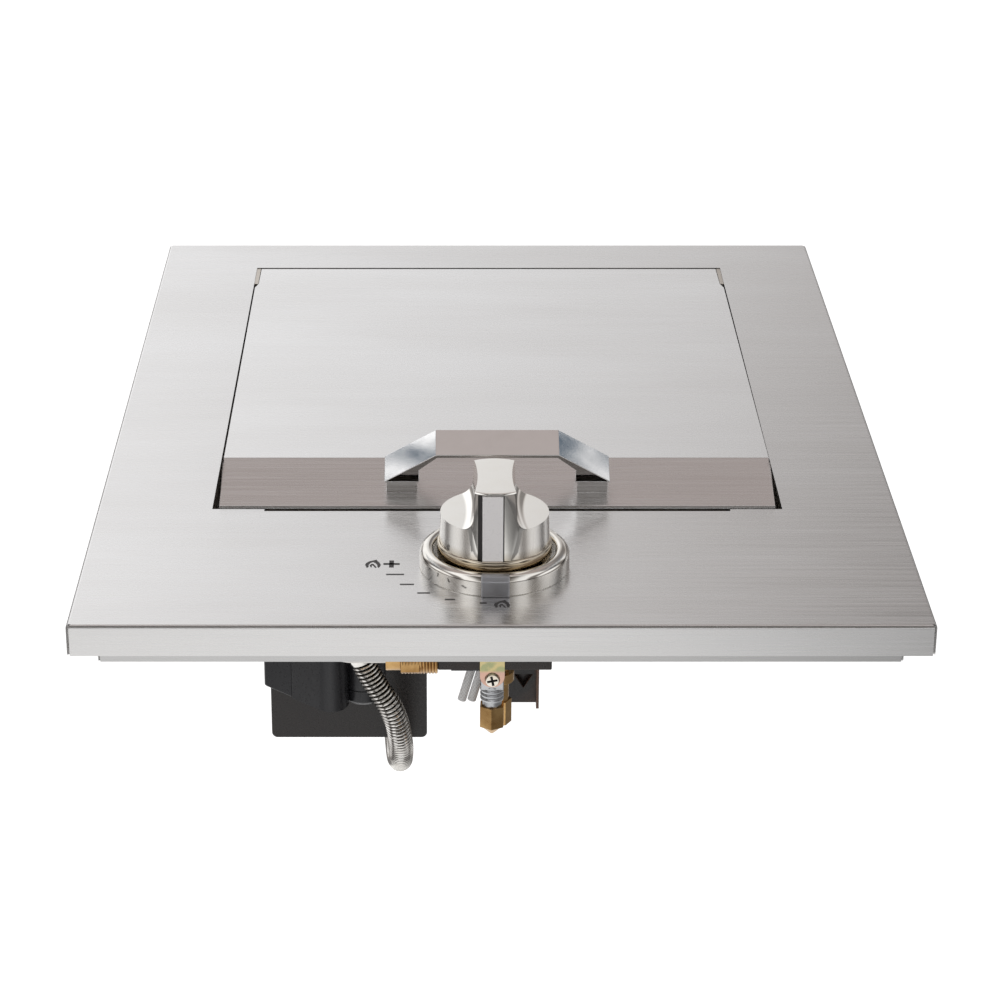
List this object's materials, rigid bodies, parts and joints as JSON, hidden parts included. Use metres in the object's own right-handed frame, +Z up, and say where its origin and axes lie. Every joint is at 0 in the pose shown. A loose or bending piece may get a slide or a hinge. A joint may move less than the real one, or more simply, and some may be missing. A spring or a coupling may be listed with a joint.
{
  "type": "built in side burner",
  "caption": "Drop-in gas side burner: brushed steel deck with folded flanges, hinged wedge lid with arched handle, push-and-turn knob, burner bowl, brass gas fittings and corrugated hose.",
  "frame": {"origin": "middle of the deck, at the height of the worktop it rests on: the underside of the deck's folded rim", "axes": "+Z up out of the worktop, -Y towards the cook where the knob is, +X to the cook's right"},
  "size_m": [0.337, 0.457, 0.1874],
  "materials": {
    "deck_steel": "brushed, grain across the deck",
    "bowl_steel": "plain rolled sheet",
    "polished_chrome": "polished plating",
    "knob_nickel": "satin to bright plating",
    "pointer_inlay": "pale satin",
    "black_paint": "semi-gloss black",
    "brass": "turned, slightly tarnished",
    "zinc_plate": "zinc plated",
    "yellow_zinc": "yellow passivated zinc",
    "hose_steel": "corrugated stainless",
    "grate_iron": "matte black enamel",
    "cast_alloy": "as cast",
    "burner_cap_enamel": "black enamel",
    "black_plastic": "fine texture",
    "white_sleeve": "woven glass sleeve",
    "ceramic_white": "glazed ceramic",
    "bumper_rubber": "soft",
    "battery_wrap": "plain wrap",
    "fastener_steel": "bright steel"
  },
  "bodies": {
    "deck": {"top_plate": "deck_steel", "hinge_bracket_left": "bowl_steel", "hinge_bracket_right": "bowl_steel", "hinge_pin_left": "fastener_steel", "hinge_pin_right": "fastener_steel", "lid_bumpers": "bumper_rubber", "stem_spring": "fastener_steel", "bezel": "polished_chrome", "bezel_window": "polished_chrome", "valve_screws": "fastener_steel", "valve_body": "cast_alloy", "gas_jet": "brass", "manifold_bar": "black_paint", "inlet_fitting": "brass", "flare_nut": "brass", "inlet_pipe": "hose_steel", "hose_nut": "brass", "gas_hose": "hose_steel", "hose_end_nut": "brass", "pipe_strap": "yellow_zinc", "strap_screw": "yellow_zinc", "test_port": "zinc_plate", "test_port_cap": "brass", "bleed_fitting": "brass", "ignition_switch": "black_plastic", "lead_sleeves": "white_sleeve", "tube_bracket": "black_paint", "burner_bowl": "bowl_steel", "pot_grate": "grate_iron", "burner_body": "cast_alloy", "burner_head": "cast_alloy", "burner_cap": "burner_cap_enamel", "burner_screws": "fastener_steel", "electrode_bracket": "zinc_plate", "electrode_ceramic": "ceramic_white", "spark_electrode": "fastener_steel", "igniter_bracket": "black_paint", "bracket_screws": "fastener_steel", "igniter_case": "black_plastic", "igniter_cover": "black_plastic", "module_screws": "fastener_steel", "battery": "battery_wrap"},
    "lid": {"lid": "deck_steel", "handle": "polished_chrome", "handle_screws": "fastener_steel"},
    "plunger": {"stem_washer": "fastener_steel"},
    "knob": {"knob": "knob_nickel", "knob_pointer": "pointer_inlay", "valve_stem": "brass"},
    "air_shutter": {"air_shutter": "zinc_plate"},
    "battery_cap": {"battery_cap": "black_plastic"}
  },
  "joints": [
    {"name": "lid_hinge", "type": "hinge", "parent": "deck", "child": "lid", "pos_m": [0, 0.186, 0.0098], "axis": [-1, 0, 0], "range_deg": [0, 95]},
    {"name": "knob_push", "type": "slide", "parent": "deck", "child": "plunger", "axis": [0, 0, 1], "range_m": [-0.003, 0], "stiffness_N_per_m": 800, "springref_m": 0.004, "deforming": ["stem_spring"]},
    {"name": "knob_turn", "type": "hinge", "parent": "plunger", "child": "knob", "pos_m": [-0.002, -0.1724, 0.013], "axis": [0, 0, 1], "range_deg": [-180, 8]},
    {"name": "air_shutter_turn", "type": "hinge", "parent": "deck", "child": "air_shutter", "pos_m": [-0.002, -0.1409, -0.019], "axis": [0, 1, 0], "range_deg": [0, 60]},
    {"name": "battery_cap_turn", "type": "hinge", "parent": "deck", "child": "battery_cap", "pos_m": [-0.057, -0.124, -0.069], "axis": [0, 0, -1], "range_deg": [0, 90]}
  ]
}
